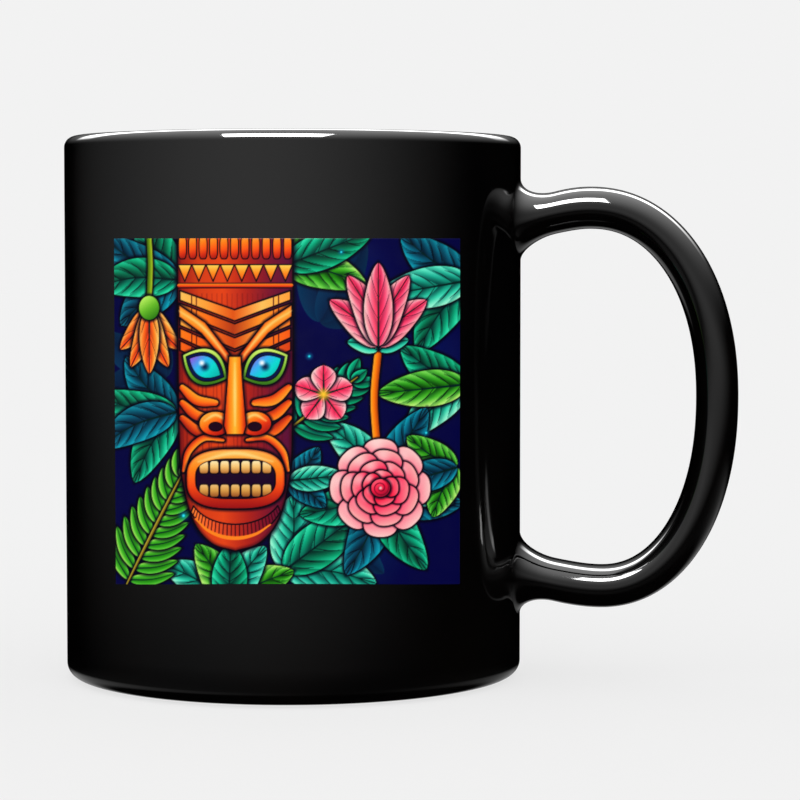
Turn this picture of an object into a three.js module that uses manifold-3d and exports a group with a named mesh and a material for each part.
// A cylindrical glazed stoneware mug with a loop handle and a square transfer print on its wall.
// Millimetres, +Z up. The origin is the middle of the foot, at table level, and the handle is on +X.
import * as THREE from 'three';
import { mergeVertices } from 'three/addons/utils/BufferGeometryUtils.js';
import Module from 'manifold-3d';

// The cup.
const cupDiameter = 82;
const cupHeight = 97;
const wallThickness = 4;
const floorThickness = 5;
const heelRadius = 2.4;
const wellCornerRadius = 7;

// The bare clay ring that the cup stands on, set into a recess in the underside.
const footHeight = 1.6;
const footWidth = 3.6;
const footInset = 4.8;
const footProud = 0.3;
const footChamfer = 0.4;

// The handle, an oval band bent to a loop. Lengths out from the wall are to the band's middle.
const bandWidth = 13;
const bandThickness = 7.5;
const bandSquareness = 2.4;
const handleReach = 35.2;
const crownReach = 12.5;
const bellyReach = 14.5;
const upperRootBelowRim = 14.9;
const lowerRootAboveTable = 18.75;
const crownRise = 2.2;
const bellyDrop = 2.2;
const loopSquareness = 2.15;

// The slip joints between the handle's ends and the wall, flared like fillets.
const luteDepth = 4;
const luteSideFlare = 2.6;
const luteFingerFlare = 5.5;
const luteOutsideFlare = 2.2;

// The printed transfer.
const printWidth = 66;
const printBelowRim = 18.2;
const printAboveTable = 19.5;
const printThickness = 0.3;
const printAngleFromHandle = 84;

// The clearance that pieces keep where they meet.
const seatGap = 0.3;

// How finely round shapes are divided.
const roundSteps = 72;
const lipSteps = 8;
const cornerSteps = 5;
const bandSteps = 40;
const sectionSteps = 20;
const quarterLoopSteps = 4;
const luteSteps = 5;

const cupRadius = cupDiameter / 2;
const wellRadius = cupRadius - wallThickness;
const heelMiddle = cupRadius - heelRadius;
const footRadius = cupRadius - footInset;
const recessRadius = footRadius + seatGap;
const recessHeight = footHeight + seatGap;
const wellFloorHeight = recessHeight + floorThickness;
const upperRootHeight = cupHeight - upperRootBelowRim;

const wasm = await Module();
wasm.setup();

// Points on an arc in the profile plane, from one angle to another, in degrees.
function arc(centreX, centreY, radius, fromDegrees, toDegrees, steps) {
  const points = [];
  for (let step = 0; step <= steps; step += 1) {
    const angle = THREE.MathUtils.degToRad(fromDegrees + ((toDegrees - fromDegrees) * step) / steps);
    points.push(new THREE.Vector2(centreX + radius * Math.cos(angle), centreY + radius * Math.sin(angle)));
  }
  return points;
}

// Turns a profile of (radius, height) points about the Z axis.
function turned(profile, steps = roundSteps) {
  const geometry = new THREE.LatheGeometry(profile, steps);
  geometry.rotateX(Math.PI / 2);
  return geometry;
}

function toSolid(geometry) {
  const bare = geometry.clone();
  bare.deleteAttribute('normal');
  bare.deleteAttribute('uv');
  const merged = mergeVertices(bare);
  return new wasm.Manifold(new wasm.Mesh({
    numProp: 3,
    vertProperties: new Float32Array(merged.attributes.position.array),
    triVerts: new Uint32Array(merged.index.array),
  }));
}

function toGeometry(solid) {
  const mesh = solid.getMesh();
  const geometry = new THREE.BufferGeometry();
  geometry.setAttribute('position', new THREE.BufferAttribute(new Float32Array(mesh.vertProperties), 3));
  geometry.setIndex(new THREE.BufferAttribute(new Uint32Array(mesh.triVerts), 1));
  return geometry;
}

// A point of a superellipse: squareness 2 is an ellipse, and more makes it squarer.
function superellipse(halfWidth, halfHeight, angle, squareness) {
  const power = 2 / squareness;
  const x = halfWidth * Math.sign(Math.cos(angle)) * Math.abs(Math.cos(angle)) ** power;
  const y = halfHeight * Math.sign(Math.sin(angle)) * Math.abs(Math.sin(angle)) ** power;
  return [x, y];
}

// The cup: a straight wall with a fully rounded lip, a rounded heel and a floor, open at the top.
function cupBodyGeometry() {
  const lipRadius = wallThickness / 2;
  const lipCentre = cupRadius - lipRadius;
  const profile = [
    new THREE.Vector2(0, recessHeight),
    new THREE.Vector2(recessRadius, recessHeight),
    new THREE.Vector2(recessRadius, footProud),
    ...arc(heelMiddle, footProud + heelRadius, heelRadius, -90, 0, cornerSteps),
    ...arc(lipCentre, cupHeight - lipRadius, lipRadius, 0, 180, lipSteps),
    ...arc(wellRadius - wellCornerRadius, wellFloorHeight + wellCornerRadius, wellCornerRadius, 0, -90, cornerSteps),
    new THREE.Vector2(0, wellFloorHeight),
  ];
  return turned(profile);
}

// The foot: a plain ring with its lower edges eased, a little lower than the heel round it.
function footRingGeometry() {
  const innerRadius = footRadius - footWidth;
  const profile = [
    new THREE.Vector2(innerRadius + footChamfer, 0),
    new THREE.Vector2(footRadius - footChamfer, 0),
    new THREE.Vector2(footRadius, footChamfer),
    new THREE.Vector2(footRadius, footHeight),
    new THREE.Vector2(innerRadius, footHeight),
    new THREE.Vector2(innerRadius, footChamfer),
    new THREE.Vector2(innerRadius + footChamfer, 0),
  ];
  return turned(profile);
}

// The middle line of the handle: from the upper root over the crown, round the outermost point and
// along the belly to the lower root. Each corner of the loop is a quarter of a superellipse.
function handlePath() {
  const crown = new THREE.Vector2(cupRadius + crownReach, upperRootHeight + crownRise);
  const belly = new THREE.Vector2(cupRadius + bellyReach, lowerRootAboveTable - bellyDrop);
  const outermost = new THREE.Vector2(cupRadius + handleReach, (crown.y + belly.y) / 2);
  const points = [
    new THREE.Vector3(wellRadius, 0, upperRootHeight - crownRise / 2),
    new THREE.Vector3(cupRadius + luteDepth, 0, upperRootHeight + crownRise / 3),
  ];
  for (let step = 0; step <= quarterLoopSteps; step += 1) {
    const angle = (Math.PI / 2) * (1 - step / quarterLoopSteps);
    const [x, z] = superellipse(outermost.x - crown.x, crown.y - outermost.y, angle, loopSquareness);
    points.push(new THREE.Vector3(crown.x + x, 0, outermost.y + z));
  }
  for (let step = 1; step <= quarterLoopSteps; step += 1) {
    const angle = (-Math.PI / 2) * (step / quarterLoopSteps);
    const [x, z] = superellipse(outermost.x - belly.x, outermost.y - belly.y, angle, loopSquareness);
    points.push(new THREE.Vector3(belly.x + x, 0, outermost.y + z));
  }
  points.push(
    new THREE.Vector3(cupRadius + luteDepth, 0, lowerRootAboveTable - bellyDrop / 3),
    new THREE.Vector3(wellRadius, 0, lowerRootAboveTable + bellyDrop / 2),
  );
  return new THREE.CatmullRomCurve3(points, false, 'centripetal');
}

// The handle: the band swept along its path, with both ends cut to the curve of the wall.
function handleGeometry(path) {
  const section = new THREE.Shape();
  for (let step = 0; step < sectionSteps; step += 1) {
    const angle = (2 * Math.PI * step) / sectionSteps;
    const [x, y] = superellipse(bandWidth / 2, bandThickness / 2, angle, bandSquareness);
    if (step === 0) {
      section.moveTo(x, y);
    } else {
      section.lineTo(x, y);
    }
  }
  section.closePath();
  const band = new THREE.ExtrudeGeometry(section, { steps: bandSteps, extrudePath: path, bevelEnabled: false });
  const keepOutRadius = cupRadius + luteDepth;
  const keepOut = turned([
    new THREE.Vector2(0, 0),
    new THREE.Vector2(keepOutRadius, 0),
    new THREE.Vector2(keepOutRadius, cupHeight),
    new THREE.Vector2(0, cupHeight),
  ]);
  return toGeometry(toSolid(band).subtract(toSolid(keepOut)));
}

// The height of the handle's middle line where it first comes within a distance of the Z axis.
function heightAtRadius(pathPoints, radius) {
  return pathPoints.find((point) => point.x >= radius).z;
}

// A slip joint: a plug between the wall and a handle end. Each ring of its points lies on a cylinder
// about the Z axis, and the rings widen towards the wall like a fillet.
function luteGeometry(middleHeight, flareAbove, flareBelow) {
  const innerRadius = cupRadius + seatGap;
  const outerRadius = cupRadius + luteDepth - seatGap;
  const positions = [];
  for (let ring = 0; ring <= luteSteps; ring += 1) {
    const towardsWall = 1 - ring / luteSteps;
    const flare = 1 - Math.sqrt(1 - towardsWall ** 2);
    const radius = THREE.MathUtils.lerp(outerRadius, innerRadius, towardsWall);
    const halfWidth = bandWidth / 2 + luteSideFlare * flare;
    const above = bandThickness / 2 + flareAbove * flare;
    const below = bandThickness / 2 + flareBelow * flare;
    for (let step = 0; step < sectionSteps; step += 1) {
      const angle = (2 * Math.PI * step) / sectionSteps;
      const halfHeight = step < sectionSteps / 2 ? above : below;
      const [y, z] = superellipse(halfWidth, halfHeight, angle, bandSquareness);
      positions.push(Math.sqrt(radius ** 2 - y ** 2), y, middleHeight + z);
    }
  }
  const indices = [];
  for (let ring = 0; ring < luteSteps; ring += 1) {
    for (let step = 0; step < sectionSteps; step += 1) {
      const next = (step + 1) % sectionSteps;
      const wallSide = ring * sectionSteps;
      const handleSide = wallSide + sectionSteps;
      indices.push(wallSide + step, wallSide + next, handleSide + next);
      indices.push(wallSide + step, handleSide + next, handleSide + step);
    }
  }
  addUprightCap(indices, 0, false);
  addUprightCap(indices, luteSteps * sectionSteps, true);
  const geometry = new THREE.BufferGeometry();
  geometry.setAttribute('position', new THREE.Float32BufferAttribute(positions, 3));
  geometry.setIndex(indices);
  return geometry;
}

// Closes a ring of points with upright strips, so that the cap follows the cylinder it lies on.
function addUprightCap(indices, firstIndex, facesOut) {
  const half = sectionSteps / 2;
  for (let step = 0; step < half; step += 1) {
    const above = firstIndex + step;
    const nextAbove = firstIndex + step + 1;
    const below = firstIndex + ((sectionSteps - step) % sectionSteps);
    const nextBelow = firstIndex + sectionSteps - step - 1;
    const triangles = [[above, nextAbove, nextBelow], [above, nextBelow, below]];
    for (const triangle of triangles) {
      const [a, b, c] = facesOut ? triangle : [triangle[0], triangle[2], triangle[1]];
      if (a !== b && b !== c && c !== a) {
        indices.push(a, b, c);
      }
    }
  }
}

// The transfer: a thin curved sheet that follows the wall.
function printGeometry() {
  const spread = printWidth / cupRadius;
  const steps = Math.ceil((spread * roundSteps) / (2 * Math.PI));
  const innerRadius = cupRadius + seatGap;
  const outerRadius = innerRadius + printThickness;
  const middle = THREE.MathUtils.degToRad(-printAngleFromHandle);
  const outline = [];
  for (let step = 0; step <= steps; step += 1) {
    const angle = middle + spread * (step / steps - 0.5);
    outline.push(new THREE.Vector2(outerRadius * Math.cos(angle), outerRadius * Math.sin(angle)));
  }
  for (let step = steps; step >= 0; step -= 1) {
    const angle = middle + spread * (step / steps - 0.5);
    outline.push(new THREE.Vector2(innerRadius * Math.cos(angle), innerRadius * Math.sin(angle)));
  }
  const printHeight = cupHeight - printBelowRim - printAboveTable;
  const sheet = new THREE.ExtrudeGeometry(new THREE.Shape(outline), { depth: printHeight, bevelEnabled: false });
  sheet.translate(0, 0, printAboveTable);
  return sheet;
}

const blackGlaze = { color: 0x060607, roughness: 0.08, metalness: 0 };
const bareClay = { color: 0xb9a58c, roughness: 0.85, metalness: 0 };
const printedColour = { color: 0x1d3a5c, roughness: 0.3, metalness: 0 };

const mug = new THREE.Group();

function addPiece(name, geometry, finish) {
  const piece = new THREE.Mesh(geometry, new THREE.MeshStandardMaterial(finish));
  piece.name = name;
  mug.add(piece);
}

const path = handlePath();
const pathPoints = path.getSpacedPoints(bandSteps * 10);
const upperLuteHeight = heightAtRadius(pathPoints, cupRadius + luteDepth);
const lowerLuteHeight = heightAtRadius([...pathPoints].reverse(), cupRadius + luteDepth);

addPiece('cup_body', cupBodyGeometry(), blackGlaze);
addPiece('foot_ring', footRingGeometry(), bareClay);
addPiece('handle', handleGeometry(path), blackGlaze);
addPiece('upper_handle_lute', luteGeometry(upperLuteHeight, luteOutsideFlare, luteFingerFlare), blackGlaze);
addPiece('lower_handle_lute', luteGeometry(lowerLuteHeight, luteFingerFlare, luteOutsideFlare), blackGlaze);
addPiece('print_transfer', printGeometry(), printedColour);

export default mug;
